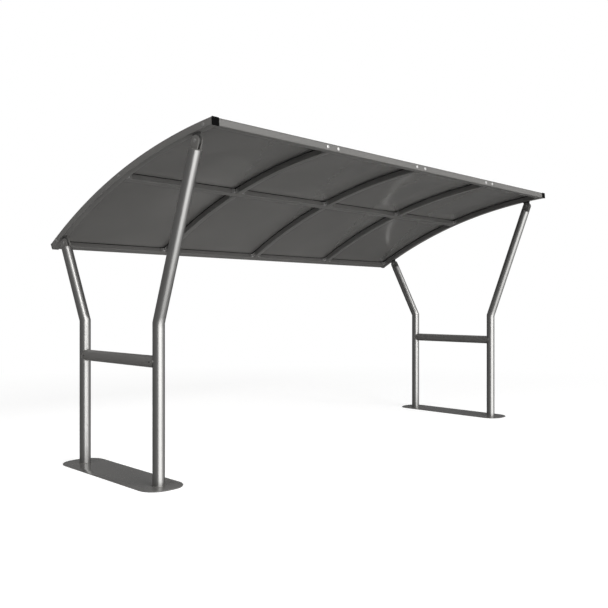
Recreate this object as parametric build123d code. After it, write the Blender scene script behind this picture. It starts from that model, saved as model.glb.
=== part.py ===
from build123d import *
from math import asin, atan2, cos, degrees, hypot, radians, sin
import os

# ---------------------------------------------------------------- driving dimensions (mm, degrees)
# Roof: one circular arc seen from the side, falling from the front rail to the rear rail.
roof_radius = 4879.0          # radius of the outer skin
roof_front_angle = 4.28       # arc angle of the front end, measured from straight up
roof_rear_angle = 29.75       # arc angle of the rear end
roof_front_height = 2288.5    # top of the skin at its front edge, above the floor
panel_thickness = 2.0
panel_joint_gap = 2.0

# Box section shared by the ribs, the rails and the purlin.
rib_width = 50.0
rib_height = 45.0
rib_wall = 3.0
rail_corner = 4.0

bay_pitch = 1031.0            # centre to centre of neighbouring ribs
bay_count = 4
purlin_fraction = 0.495       # purlin position along the arc between the two ends

# End frames: two posts with a mitred bend on a base plate, joined by a crossbar.
post_diameter = 80.0
post_wall = 3.0
post_spacing = 968.0          # front post to rear post
front_setback = 596.5         # front post axis behind the front edge of the roof
bend_height = 1062.0
front_lug_angle = 6.48        # arc angles at which the posts carry the end ribs
rear_lug_angle = 27.77
bolt_drop = 49.5              # clamp bolt below the underside of the rib
fork_rise = 45.0              # clamp bolt above the flat top of the post

plate_width = 312.0
plate_thickness = 6.0
plate_corner = 130.0
plate_overhang = 140.0        # plate beyond each post axis
anchor_hole = 14.0
anchor_spacing_x = 200.0

crossbar_diameter = 80.0
crossbar_wall = 3.0
crossbar_centre = 806.0       # axis above the floor

fork_cap = 6.0
fork_plate = 10.0             # each of the two cheeks
fork_gap = 14.0
fork_tongue = 72.0
lug_eye = 64.0                # round end between the cheeks
lug_neck = 44.0
lug_foot_length = 70.0
lug_foot = 10.0
bolt_diameter = 12.0
bolt_head = 26.0
bolt_head_height = 5.0
nut_flats = 19.0
nut_height = 10.0

cleat_leg = 40.0
cleat_thickness = 4.0
cleat_height = 36.0
end_cap = 3.0
end_cap_lip = 3.0             # flange beyond the tube and the skin, all round
end_cap_spigot = 20.0

# Clearances.
butt_gap = 0.3                # tube ends against the member they meet
lug_play = 2.0                # each side of a lug in its fork
hole_gap = 0.5                # radial, bolt in its hole
skin_gap = 0.3                # skin above the ribs and rails
seat_gap = 0.3                # lug foot under its rib
spigot_gap = 0.3              # cap spigots inside the tube

# ---------------------------------------------------------------- derived dimensions
frame_half = bay_pitch * bay_count / 2
rib_top = roof_radius - panel_thickness - skin_gap
rib_under = rib_top - rib_height
rib_mid = (rib_top + rib_under) / 2
half_width_angle = degrees(asin(rib_width / 2 / rib_mid))

cap_inner = rib_under - end_cap_lip
cap_outer = roof_radius + end_cap_lip
cap_face = butt_gap + end_cap
front_edge = cap_inner * sin(radians(roof_front_angle)) - cap_face * cos(radians(roof_front_angle))
rear_edge = cap_outer * sin(radians(roof_rear_angle)) + cap_face * cos(radians(roof_rear_angle))
arc_y = -(front_edge + rear_edge) / 2
arc_z = roof_front_height - roof_radius * cos(radians(roof_front_angle))

front_rail_angle = roof_front_angle + half_width_angle
rear_rail_angle = roof_rear_angle - half_width_angle
purlin_angle = roof_front_angle + purlin_fraction * (roof_rear_angle - roof_front_angle)
gap_angle = degrees(butt_gap / rib_under)

front_post_y = arc_y + front_edge + front_setback
rear_post_y = front_post_y + post_spacing
plate_centre_y = (front_post_y + rear_post_y) / 2

lug_thickness = fork_gap - 2 * lug_play
fork_width = fork_gap + 2 * fork_plate


def arc_point(radius, angle):
    """Point (y, z) of the roof arc at a radius and an arc angle."""
    return (arc_y + radius * sin(radians(angle)), arc_z + radius * cos(radians(angle)))


def arc_place(x, radius, angle):
    """Location on the arc whose local Z points outward along the radius."""
    y, z = arc_point(radius, angle)
    return Pos(x, y, z) * Rot(X=-angle)


def arc_band(r_out, r_in, a0, a1, x0, x1):
    """Solid between two radii of the roof arc, from angle a0 to a1 and from x0 to x1."""
    am = (a0 + a1) / 2
    with BuildPart() as band:
        with BuildSketch(Plane.YZ.offset(x0)):
            with BuildLine():
                ThreePointArc(arc_point(r_out, a0), arc_point(r_out, am), arc_point(r_out, a1))
                Line(arc_point(r_out, a1), arc_point(r_in, a1))
                ThreePointArc(arc_point(r_in, a1), arc_point(r_in, am), arc_point(r_in, a0))
                Line(arc_point(r_in, a0), arc_point(r_out, a0))
            make_face()
        extrude(amount=x1 - x0)
    return band.part


def curved_tube(x, a0, a1):
    """Curved box section standing across the roof, open at both ends."""
    half = rib_width / 2
    bore = half - rib_wall
    outer = arc_band(rib_top, rib_under, a0, a1, x - half, x + half)
    inner = arc_band(rib_top - rib_wall, rib_under + rib_wall, a0 - 0.1, a1 + 0.1, x - bore, x + bore)
    return outer - inner


def cleat(x, angle, x_side, y_side):
    """Angle cleat in the corner between a rib face at x and a rail face at an arc angle.

    x_side and y_side give the directions in which the corner opens; y_side is +1 toward
    the rear along the arc.
    """
    leg_x = Box(cleat_leg, cleat_thickness, cleat_height,
                align=(Align.MIN, Align.MIN, Align.CENTER))
    leg_y = Box(cleat_thickness, cleat_leg, cleat_height,
                align=(Align.MIN, Align.MIN, Align.CENTER))
    corner = leg_x + leg_y
    if x_side < 0:
        corner = mirror(corner, about=Plane.YZ)
    if y_side < 0:
        corner = mirror(corner, about=Plane.XZ)
    return arc_place(x, rib_mid, angle) * corner


def rail(angle, inset):
    """Rail or purlin across the whole roof at an arc angle, lying on the radius."""
    half = frame_half - rib_width / 2 - inset
    outer = extrude(Plane.YZ * RectangleRounded(rib_width, rib_height, rail_corner), half, both=True)
    bore = Box(2 * half + 10, rib_width - 2 * rib_wall, rib_height - 2 * rib_wall)
    return arc_place(0, rib_mid, angle) * (outer - bore)


def end_rib(x, inward):
    """End rib with the cleats that take the rails and the purlin on its inner face."""
    face = x + inward * rib_width / 2
    rib = curved_tube(x, roof_front_angle, roof_rear_angle)
    for angle, side in ((front_rail_angle, 1), (purlin_angle, -1), (purlin_angle, 1),
                        (rear_rail_angle, -1)):
        rib += cleat(face, angle + side * (half_width_angle + gap_angle), inward, side)
    return rib


def mid_rib(x, start, stop):
    """Rib between two rails, with a cleat each side at both ends."""
    a0 = start + half_width_angle + gap_angle
    a1 = stop - half_width_angle - gap_angle
    rib = curved_tube(x, a0, a1)
    for side in (-1, 1):
        face = x + side * rib_width / 2
        rib += cleat(face, a0, side, 1)
        rib += cleat(face, a1, side, -1)
    return rib


def bolt_point(angle):
    """Clamp bolt axis (y, z) under the rib at an arc angle."""
    return arc_point(rib_under - bolt_drop, angle)


def post_axis(post_y, angle):
    """Corner points (y, z) of a post axis and the lean of its upper part in degrees."""
    by, bz = bolt_point(angle)
    dy, dz = by - post_y, bz - bend_height
    length = hypot(dy, dz)
    drop = (fork_rise + fork_cap) / length
    top = (by - dy * drop, bz - dz * drop)
    return [(post_y, plate_thickness), (post_y, bend_height), top], degrees(atan2(dy, dz))


def post(x, post_y, angle):
    """Open tube standing on the base plate, with one mitred joint at the bend."""
    (y0, z0), (y1, z1), (y2, z2) = post_axis(post_y, angle)[0]
    lean = atan2(y2 - y1, z2 - z1)
    radius = post_diameter / 2
    ring = Circle(radius) - Circle(radius - post_wall)
    mitre = Plane(origin=(x, y1, z1), z_dir=(0, sin(lean / 2), cos(lean / 2)))
    head = Plane(origin=(x, y2, z2), z_dir=(0, -sin(lean), -cos(lean)))
    lower = extrude(Plane(origin=(x, y0, z0)) * ring, z1 - z0 + radius)
    upper = extrude(head * ring, hypot(y2 - y1, z2 - z1) + radius)
    return split(lower, bisect_by=mitre, keep=Keep.BOTTOM) + split(upper, bisect_by=mitre, keep=Keep.TOP)


def fork(x, post_y, angle):
    """Cap of a post with two round-topped cheeks that take the lug of the rib."""
    lean = post_axis(post_y, angle)[1]
    by, bz = bolt_point(angle)
    body = Pos(0, 0, -fork_rise) * Cylinder(post_diameter / 2, fork_cap,
                                            align=(Align.CENTER, Align.CENTER, Align.MAX))
    cheek = Circle(fork_tongue / 2) + Pos(0, -fork_rise / 2) * Rectangle(fork_tongue, fork_rise)
    cheek -= Circle(bolt_diameter / 2 + hole_gap)
    for side in (-1, 1):
        plane = Plane.YZ.offset(side * (fork_gap + fork_plate) / 2)
        body += extrude(plane * cheek, fork_plate / 2, both=True)
    return Pos(x, by, bz) * Rot(X=-lean) * body


def lug(x, angle):
    """Plate under the end rib: a curved foot, a neck and a round eye between the cheeks."""
    spread = degrees(lug_foot_length / 2 / rib_under)
    half = lug_thickness / 2
    seat = rib_under - seat_gap
    foot = arc_band(seat, seat - lug_foot, angle - spread, angle + spread, x - half, x + half)
    depth = bolt_drop - lug_foot / 2
    eye = Circle(lug_eye / 2) + Pos(0, depth / 2) * Rectangle(lug_neck, depth)
    eye -= Circle(bolt_diameter / 2 + hole_gap)
    return foot + arc_place(x, rib_under - bolt_drop, angle) * extrude(Plane.YZ * eye, half, both=True)


def clamp_bolt(x, angle):
    """Clamp bolt through fork and lug: round head on one side, nut on the other."""
    half = fork_width / 2
    shank = extrude(Plane.YZ.offset(-half) * Circle(bolt_diameter / 2), fork_width)
    head = extrude(Plane.YZ.offset(-half) * Circle(bolt_head / 2), -bolt_head_height)
    nut = extrude(Plane.YZ.offset(half) * RegularPolygon(nut_flats / 2, 6, major_radius=False), nut_height)
    return Pos(x, *bolt_point(angle)) * (shank + head + nut)


def rib_cap(x, angle, side):
    """Plug closing the end of an end rib; its flange also covers the edge of the skin."""
    centre = (cap_outer + cap_inner) / 2
    flange = Box(rib_width + 2 * end_cap_lip, end_cap, cap_outer - cap_inner,
                 align=(Align.CENTER, Align.MIN, Align.CENTER))
    spigot = Box(rib_width - 2 * (rib_wall + spigot_gap), end_cap_spigot,
                 rib_height - 2 * (rib_wall + spigot_gap),
                 align=(Align.CENTER, Align.MAX, Align.CENTER))
    plug = Pos(0, butt_gap, 0) * (flange + Pos(0, 0, rib_mid - centre) * spigot)
    if side < 0:
        plug = mirror(plug, about=Plane.XZ)
    return arc_place(x, centre, angle) * plug


def base_plate(x):
    """Flat base plate with rounded ends, an anchor hole each side of the posts and midway."""
    length = post_spacing + 2 * plate_overhang
    outline = RectangleRounded(plate_width, length, plate_corner)
    holes = [Pos(side * anchor_spacing_x / 2, row * post_spacing / 2) * Circle(anchor_hole / 2)
             for side in (-1, 1) for row in (-1, 0, 1)]
    return Pos(x, plate_centre_y, 0) * extrude(outline - holes, plate_thickness)


def crossbar(x):
    """Round tube between the two posts, its ends cut to the round of the posts."""
    radius = crossbar_diameter / 2
    ring = Circle(radius) - Circle(radius - crossbar_wall)
    bar = extrude(Plane.XZ.offset(-plate_centre_y) * ring, post_spacing / 2, both=True)
    for y in (front_post_y, rear_post_y):
        bar -= Pos(0, y) * Cylinder(post_diameter / 2 + butt_gap, crossbar_diameter + 10)
    return Pos(x, 0, crossbar_centre) * bar


def roof_panel(index):
    """Curved sheet over one bay, meeting its neighbours on the centre line of the ribs."""
    x0 = -frame_half + index * bay_pitch + panel_joint_gap / 2
    x1 = x0 + bay_pitch - panel_joint_gap
    if index == 0:
        x0 = -frame_half - rib_width / 2
    if index == bay_count - 1:
        x1 = frame_half + rib_width / 2
    return arc_band(roof_radius, roof_radius - panel_thickness, roof_front_angle, roof_rear_angle, x0, x1)


# ---------------------------------------------------------------- subcomponents
pieces = {}
for name, x, inward in (("left", -frame_half, 1), ("right", frame_half, -1)):
    pieces[f"{name}_base_plate"] = base_plate(x)
    pieces[f"{name}_crossbar"] = crossbar(x)
    pieces[f"{name}_end_rib"] = end_rib(x, inward)
    pieces[f"{name}_front_cap"] = rib_cap(x, roof_front_angle, -1)
    pieces[f"{name}_rear_cap"] = rib_cap(x, roof_rear_angle, 1)
    for end, post_y, angle in (("front", front_post_y, front_lug_angle),
                               ("rear", rear_post_y, rear_lug_angle)):
        pieces[f"{name}_{end}_post"] = post(x, post_y, angle)
        pieces[f"{name}_{end}_fork"] = fork(x, post_y, angle)
        pieces[f"{name}_{end}_lug"] = lug(x, angle)
        pieces[f"{name}_{end}_bolt"] = clamp_bolt(x, angle)

for index in range(1, bay_count):
    x = -frame_half + index * bay_pitch
    pieces[f"front_rib_{index}"] = mid_rib(x, front_rail_angle, purlin_angle)
    pieces[f"rear_rib_{index}"] = mid_rib(x, purlin_angle, rear_rail_angle)

pieces["front_rail"] = rail(front_rail_angle, butt_gap)
pieces["purlin"] = rail(purlin_angle, butt_gap)
pieces["rear_rail"] = rail(rear_rail_angle, butt_gap)
for index in range(bay_count):
    pieces[f"roof_panel_{index + 1}"] = roof_panel(index)

os.makedirs("parts", exist_ok=True)
for name, shape in pieces.items():
    export_step(shape, f"parts/{name}.step")
    print(name, len(shape.solids()), round(shape.volume / 1000), "cm3")
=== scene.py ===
"""Looks of the bike shelter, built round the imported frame.

Every new piece is a surface worked out with numpy: a closed profile carried along a path, or a
ring of radii turned round an axis. Lengths are in metres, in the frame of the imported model.
"""

import logging
import math
from dataclasses import dataclass, field
from enum import Enum

import bpy
import numpy as np
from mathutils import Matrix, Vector


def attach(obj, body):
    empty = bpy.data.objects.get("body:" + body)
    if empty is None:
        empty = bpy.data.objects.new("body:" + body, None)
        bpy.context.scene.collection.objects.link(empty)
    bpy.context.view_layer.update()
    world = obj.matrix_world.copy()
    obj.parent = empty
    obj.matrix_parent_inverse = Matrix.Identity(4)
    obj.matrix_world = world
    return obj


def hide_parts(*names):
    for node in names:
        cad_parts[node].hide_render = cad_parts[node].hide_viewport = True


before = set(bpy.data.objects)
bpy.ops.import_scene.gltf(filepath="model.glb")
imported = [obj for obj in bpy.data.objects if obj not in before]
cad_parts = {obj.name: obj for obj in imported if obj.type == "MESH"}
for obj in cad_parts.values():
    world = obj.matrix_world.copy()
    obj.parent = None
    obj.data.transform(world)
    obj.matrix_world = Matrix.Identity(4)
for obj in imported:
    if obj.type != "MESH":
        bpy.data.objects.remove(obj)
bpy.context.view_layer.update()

LOG = logging.getLogger("bike_shelter")
X_AXIS = np.array((1.0, 0.0, 0.0))
Y_AXIS = np.array((0.0, 1.0, 0.0))
Z_AXIS = np.array((0.0, 0.0, 1.0))
QUARTER = np.pi / 2  # a quarter turn
SHARP_EDGE = math.radians(35.0)  # above this angle an edge isn't shaded smooth
STEEP = 0.9  # a unit vector whose Z is above this counts as upright
WHITE = (1.0, 1.0, 1.0, 1.0)

Node = bpy.types.Node
Socket = bpy.types.NodeSocket
Feed = Node | Socket | float | tuple
Triple = tuple[float, float, float]


# ------------------------------------------------------------------------------- named options
class Named(Enum):
    """Options whose names are used inside the names of the pieces."""

    @property
    def label(self) -> str:
        """The option's name in small letters."""
        return self.name.lower()


class Side(Named):
    """The two ends of the shelter, with the sign of X at each."""

    LEFT = -1
    RIGHT = 1


class Row(Named):
    """The two rows of posts, with the sign of Y toward each from the middle of a base plate."""

    FRONT = -1
    REAR = 1


class Slot(Enum):
    """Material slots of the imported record."""

    STAINLESS = "stainless"
    FORK = "fork_steel"
    BOLT = "bolt_steel"
    FRAME = "frame_paint"
    ROOF = "roof_paint"
    BAR = "bar_paint"
    PLATE = "plate_paint"
    CAP = "black_plastic"
    LUG = "lug_paint"


# ------------------------------------------------------------------------------- sizes
@dataclass(frozen=True)
class Sizes:
    """Sizes of the shelter, in metres and degrees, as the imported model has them."""

    roof_radius: float = 4.879
    front_angle: float = 4.28
    rear_angle: float = 29.75
    front_height: float = 2.2885
    skin: float = 0.002
    skin_gap: float = 0.0003
    section_width: float = 0.050
    section_height: float = 0.045
    corner: float = 0.004
    bay_pitch: float = 1.031
    bay_count: int = 4
    purlin_fraction: float = 0.495
    end_cap: float = 0.003
    end_cap_lip: float = 0.003
    butt_gap: float = 0.0003
    post_radius: float = 0.040
    post_spacing: float = 0.968
    front_setback: float = 0.5965
    bend_height: float = 1.062
    front_lug_angle: float = 6.48
    rear_lug_angle: float = 27.77
    bolt_drop: float = 0.0495
    fork_rise: float = 0.045
    plate_thickness: float = 0.006
    fork_cap: float = 0.006

    @property
    def half_length(self) -> float:
        """Distance of each end frame from the middle of the shelter."""
        return self.bay_pitch * self.bay_count / 2

    @property
    def rib_top(self) -> float:
        """Radius of the upper face of ribs and rails."""
        return self.roof_radius - self.skin - self.skin_gap

    @property
    def rib_under(self) -> float:
        """Radius of the underside of ribs and rails."""
        return self.rib_top - self.section_height

    @property
    def rib_mid(self) -> float:
        """Radius of the centre line of ribs and rails."""
        return (self.rib_top + self.rib_under) / 2

    @property
    def half_section_angle(self) -> float:
        """Angle that half the width of a rail takes on the arc."""
        return math.degrees(math.asin(self.section_width / 2 / self.rib_mid))

    @property
    def cap_radii(self) -> tuple[float, float]:
        """Radii of the lower and upper edges of the end caps."""
        return self.rib_under - self.end_cap_lip, self.roof_radius + self.end_cap_lip

    @property
    def front_edge(self) -> float:
        """Y of the front end from the centre of the arc."""
        a = math.radians(self.front_angle)
        return self.cap_radii[0] * math.sin(a) - (self.butt_gap + self.end_cap) * math.cos(a)

    @property
    def arc_y(self) -> float:
        """Y of the centre of the roof arc."""
        a = math.radians(self.rear_angle)
        rear_edge = self.cap_radii[1] * math.sin(a) + (self.butt_gap + self.end_cap) * math.cos(a)
        return -(self.front_edge + rear_edge) / 2

    @property
    def arc_z(self) -> float:
        """Z of the centre of the roof arc."""
        return self.front_height - self.roof_radius * math.cos(math.radians(self.front_angle))

    @property
    def front_post_y(self) -> float:
        """Y of the front posts' vertical axis."""
        return self.arc_y + self.front_edge + self.front_setback

    @property
    def rear_post_y(self) -> float:
        """Y of the rear posts' vertical axis."""
        return self.front_post_y + self.post_spacing

    @property
    def plate_y(self) -> float:
        """Y of the middle of the base plates."""
        return (self.front_post_y + self.rear_post_y) / 2

    @property
    def rail_angles(self) -> dict[str, float]:
        """Arc angles of the front rail, the purlin and the rear rail, by name."""
        half = self.half_section_angle
        purlin = self.front_angle + self.purlin_fraction * (self.rear_angle - self.front_angle)
        front, rear = self.front_angle + half, self.rear_angle - half
        return {"front_rail": front, "purlin": purlin, "rear_rail": rear}

    @property
    def end_angles(self) -> tuple[tuple[Row, float], ...]:
        """The two ends of the arc, each with its angle."""
        return (Row.FRONT, self.front_angle), (Row.REAR, self.rear_angle)

    @property
    def rib_spans(self) -> tuple[tuple[str, float, float], ...]:
        """Names of the two spans of ribs between the rails, with the rails' angles."""
        front, purlin, rear = self.rail_angles.values()
        return ("front", front, purlin), ("rear", purlin, rear)

    @property
    def rail_faces(self) -> tuple[tuple[float, int], ...]:
        """Side faces of the rails that ribs meet: the rail's angle and the sign along the arc."""
        front, purlin, rear = self.rail_angles.values()
        return (front, 1), (purlin, -1), (purlin, 1), (rear, -1)

    @property
    def rib_lines(self) -> np.ndarray:
        """X of every rib, from left to right."""
        return -self.half_length + self.bay_pitch * np.arange(self.bay_count + 1)

    @property
    def rib_faces(self) -> list[tuple[float, int]]:
        """Side faces of the ribs that look into a bay: the face's X and the sign of X."""
        faces = [(x + side * self.section_width / 2, side) for x in self.rib_lines for side in (-1, 1)]
        return faces[1:-1]

    def reach(self, spare: float = 0.0) -> float:
        """Angle from a rail's middle to what butts against it, with a gap and a spare length."""
        return self.half_section_angle + math.degrees((self.butt_gap + spare) / self.rib_under)

    def lug_angle(self, row: Row) -> float:
        """Arc angle of the lugs of a row."""
        return self.front_lug_angle if row is Row.FRONT else self.rear_lug_angle

    def arc_point(self, radius: float, angle: np.ndarray | float, x: float = 0.0) -> np.ndarray:
        """Points of the roof arc.

        Args:
            radius: Distance from the arc's centre.
            angle: One arc angle or many, in degrees from straight up toward the rear.
            x: Place along the shelter.

        Returns:
            An array of points, with one row for each angle.
        """
        a = np.radians(np.atleast_1d(angle))
        y, z = self.arc_y + radius * np.sin(a), self.arc_z + radius * np.cos(a)
        return np.stack((np.full_like(a, x), y, z), 1)

    def outward(self, angle: np.ndarray | float) -> np.ndarray:
        """Unit vectors that point away from the arc's centre, one row for each angle."""
        a = np.radians(np.atleast_1d(angle))
        return np.stack((np.zeros_like(a), np.sin(a), np.cos(a)), 1)

    def along(self, angle: np.ndarray | float) -> np.ndarray:
        """Unit vectors that follow the arc toward the rear, one row for each angle."""
        a = np.radians(np.atleast_1d(angle))
        return np.stack((np.zeros_like(a), np.cos(a), -np.sin(a)), 1)


# ------------------------------------------------------------------------------- surfaces
@dataclass
class Shell:
    """Points and faces of one or more closed surfaces."""

    points: np.ndarray
    corners: np.ndarray
    counts: np.ndarray

    @staticmethod
    def joined(shells: list["Shell"]) -> "Shell":
        """Puts several shells into one, without merging their points.

        Args:
            shells: The shells to put together.

        Returns:
            One shell that holds all of them.
        """
        starts = np.cumsum([0] + [len(s.points) for s in shells[:-1]])
        return Shell(
            np.concatenate([s.points for s in shells]),
            np.concatenate([s.corners + k for s, k in zip(shells, starts)]),
            np.concatenate([s.counts for s in shells]),
        )

    def placed(self, origin: np.ndarray, across: np.ndarray, up: np.ndarray, out: np.ndarray) -> "Shell":
        """Carries the shell from its own axes to a place on the shelter.

        Args:
            origin: Where the shell's own origin goes.
            across: Direction of its own X.
            up: Direction of its own Y.
            out: Direction of its own Z; across, up and out are a right-handed set.

        Returns:
            The shell in its place: origin + x across + y up + z out.
        """
        return Shell(self.points @ np.stack((across, up, out)) + origin, self.corners, self.counts)

    def facing(self, spot: np.ndarray, out: np.ndarray) -> "Shell":
        """Puts the shell on a spot with its own Z along a direction.

        Args:
            spot: Where the shell's own origin goes.
            out: Unit vector that its own Z follows.

        Returns:
            The shell in its place.
        """
        across = unit(np.cross(Z_AXIS if abs(out[2]) < STEEP else Y_AXIS, out))
        return self.placed(spot, across, np.cross(out, across), out)

    def piece(self, name: str, finish: "Finish", slot: Slot) -> bpy.types.Object:
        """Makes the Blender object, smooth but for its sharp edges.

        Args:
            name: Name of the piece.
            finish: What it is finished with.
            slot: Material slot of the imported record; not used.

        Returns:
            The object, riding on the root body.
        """
        mesh = bpy.data.meshes.new(name)
        mesh.vertices.add(len(self.points))
        mesh.vertices.foreach_set("co", np.ascontiguousarray(self.points, np.float32).ravel())
        mesh.loops.add(len(self.corners))
        mesh.loops.foreach_set("vertex_index", self.corners.astype(np.int32))
        mesh.polygons.add(len(self.counts))
        starts = np.concatenate(([0], np.cumsum(self.counts)[:-1]))
        mesh.polygons.foreach_set("loop_start", starts.astype(np.int32))
        mesh.update(calc_edges=True)
        mesh.validate()
        mesh.shade_smooth()
        mesh.set_sharp_from_angle(angle=SHARP_EDGE)
        mesh.materials.append(finish.material())
        piece = shown(name, mesh)
        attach(piece, "root")
        return piece


def shown(name: str, data: bpy.types.ID) -> bpy.types.Object:
    """Puts a new object into the scene.

    Args:
        name: Name of the object.
        data: The mesh, lamp or camera that it holds.

    Returns:
        The object.
    """
    made = bpy.data.objects.new(name, data)
    bpy.context.scene.collection.objects.link(made)
    return made


def unit(vectors: np.ndarray) -> np.ndarray:
    """The vectors, each divided by its length."""
    return vectors / np.linalg.norm(vectors, axis=-1, keepdims=True)


def full_turn(steps: int) -> np.ndarray:
    """Equal steps of a full turn, without its end."""
    return np.linspace(0, 2 * np.pi, steps, endpoint=False)


def circle(radius: float, turn: np.ndarray) -> np.ndarray:
    """Points radius * (cos t, sin t), one for each angle t of turn."""
    return radius * np.stack((np.cos(turn), np.sin(turn)), -1)


def grid_shell(points: np.ndarray, ring: bool = False) -> Shell:
    """Closes a grid of points that wraps along its columns.

    Point (i, j) joins (i, j + 1) and (i + 1, j). Faces point outward where a row runs
    anticlockwise as seen from the later rows.

    Args:
        points: Array of rows, columns and three coordinates.
        ring: True to join the last row to the first; otherwise one flat face fills each of them.

    Returns:
        The closed shell.
    """
    rows, cols = points.shape[:2]
    index = np.arange(rows * cols).reshape(rows, cols)
    ahead = np.roll(index, -1, axis=1)
    quads = np.stack((index, ahead, np.roll(ahead, -1, axis=0), np.roll(index, -1, axis=0)), -1)
    if ring:
        return Shell(points.reshape(-1, 3), quads.ravel(), np.full(index.size, 4))
    corners = np.concatenate((quads[:-1].ravel(), index[0, ::-1], index[-1]))
    counts = np.concatenate((np.full((rows - 1) * cols, 4), (cols, cols)))
    return Shell(points.reshape(-1, 3), corners, counts)


def rounded_outline(width: float, height: float, radius: float, steps: int = 6) -> np.ndarray:
    """Anticlockwise rectangle with quarter circles at its corners.

    The corner centres stand a radius in from both sides, and each quarter adds
    radius * (cos t, sin t) while t runs over its quarter turn.

    Args:
        width: Size along the first axis.
        height: Size along the second axis.
        radius: Corner radius.
        steps: Straight pieces in each corner.

    Returns:
        Array of (x, y) points.
    """
    quarters = np.arange(4)[:, None] * QUARTER
    turn = quarters + np.linspace(0, QUARTER, steps + 1)[None, :]
    signs = np.array(((1, 1), (-1, 1), (-1, -1), (1, -1)))[:, None]
    centres = signs * (width / 2 - radius, height / 2 - radius)
    return (centres + circle(radius, turn)).reshape(-1, 2)


def tongue_outline(half: float, foot: float, crown: float, steps: int = 24) -> np.ndarray:
    """Anticlockwise plate with a straight foot and a round top.

    Args:
        half: Half the width, which is also the radius of the top.
        foot: Height of the straight lower edge.
        crown: Height of the centre of the round top.
        steps: Straight pieces in the round top.

    Returns:
        Array of (x, y) points: the two lower corners, then the half circle
        (half cos t, crown + half sin t) for t from 0 to half a turn.
    """
    top = circle(half, np.linspace(0, np.pi, steps + 1)) + (0, crown)
    return np.concatenate((((-half, foot), (half, foot)), top))


def tee_outline(
    eye: float, neck: float, foot: float, shoulder: float, top: float, steps: int = 48
) -> np.ndarray:
    """Anticlockwise plate hanging from a straight foot: a neck that ends in a round eye.

    Args:
        eye: Radius of the eye, whose centre is the origin.
        neck: Half the width of the neck.
        foot: Half the length of the foot.
        shoulder: Height of the foot's lower edge.
        top: Height of the foot's upper edge.
        steps: Straight pieces in the eye.

    Returns:
        Array of (x, y) points: the eye's arc eye (cos t, sin t), which starts and ends where
        x is neck from the middle, then the foot's corners.
    """
    start = np.pi - math.acos(neck / eye)
    end = circle(eye, np.linspace(start, 3 * np.pi - start, steps + 1))
    right = ((neck, shoulder), (foot, shoulder), (foot, top))
    left = ((-foot, top), (-foot, shoulder), (-neck, shoulder))
    return np.concatenate((end, right, left))


def inset(outline: np.ndarray, amount: float) -> np.ndarray:
    """Moves an anticlockwise outline inward along the mean normal at each point.

    Args:
        outline: The outline.
        amount: How far each side moves.

    Returns:
        The smaller outline.
    """
    mean = unit(outline - np.roll(outline, 1, axis=0)) + unit(np.roll(outline, -1, axis=0) - outline)
    scale = 2 / np.sum(mean * mean, axis=1, keepdims=True)
    return outline + amount * scale * np.stack((-mean[:, 1], mean[:, 0]), 1)


def eased_slab(outline: np.ndarray, thickness: float, ease: float, steps: int = 3) -> Shell:
    """Plate standing on its own XY plane with both rims rounded.

    Each rim is a quarter circle of radius ease: the outline moves in by ease (1 - sin t) while
    the height rises by ease (1 - cos t).

    Args:
        outline: Anticlockwise outline.
        thickness: Height of the plate.
        ease: Radius of the rims.
        steps: Straight pieces in each rim.

    Returns:
        The closed shell.
    """
    turn = np.linspace(0, QUARTER, steps + 1)
    moves = ease * (1 - np.sin(turn))
    low = ease * (1 - np.cos(turn))
    moves = np.concatenate((moves, moves[::-1]))
    heights = np.concatenate((low, thickness - low[::-1]))
    flat = np.stack([inset(outline, move) for move in moves])
    z = np.broadcast_to(heights[:, None, None], (*flat.shape[:2], 1))
    return grid_shell(np.concatenate((flat, z), axis=-1))


def carried(profile: np.ndarray, path: np.ndarray, across: np.ndarray, up: np.ndarray) -> Shell:
    """Carries a closed profile along a path and fills both ends.

    Point (i, j) is path[i] + profile[j].x across[i] + profile[j].y up[i].

    Args:
        profile: Anticlockwise profile.
        path: Points of the path.
        across: Direction of the profile's x at each point.
        up: Direction of the profile's y at each point; across x up follows the path.

    Returns:
        The closed shell.
    """
    across, up = (np.broadcast_to(axis, path.shape)[:, None] for axis in (across, up))
    return grid_shell(path[:, None] + profile[:, :1] * across + profile[:, 1:] * up)


def turned(radii: np.ndarray, heights: np.ndarray, steps: int = 32) -> Shell:
    """Turns a row of radii round the shell's own Z, and fills the first and last ring.

    Point (i, j) stands at height heights[i] and at radii[i, j] (cos t, sin t), where t is the
    j-th share of a full turn.

    Args:
        radii: One radius for each ring, or an array of rings and angles for shapes that are
            not round.
        heights: Height of each ring, which rises along an outer wall.
        steps: Points in a ring, where radii has no angles of its own.

    Returns:
        The closed shell.
    """
    radii = np.asarray(radii, float)
    if radii.ndim == 1:
        radii = np.repeat(radii[:, None], steps, axis=1)
    z = np.repeat(np.asarray(heights, float)[:, None], radii.shape[1], axis=1)
    flat = radii[..., None] * circle(1.0, full_turn(radii.shape[1]))
    return grid_shell(np.concatenate((flat, z[..., None]), axis=-1))


def hexagon_radius(flats: float, steps: int) -> np.ndarray:
    """Radius of a hexagon at each step: half its flats over cos of the angle from a flat's middle."""
    return flats / 2 / np.cos((full_turn(steps) + np.pi / 6) % (np.pi / 3) - np.pi / 6)


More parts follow.
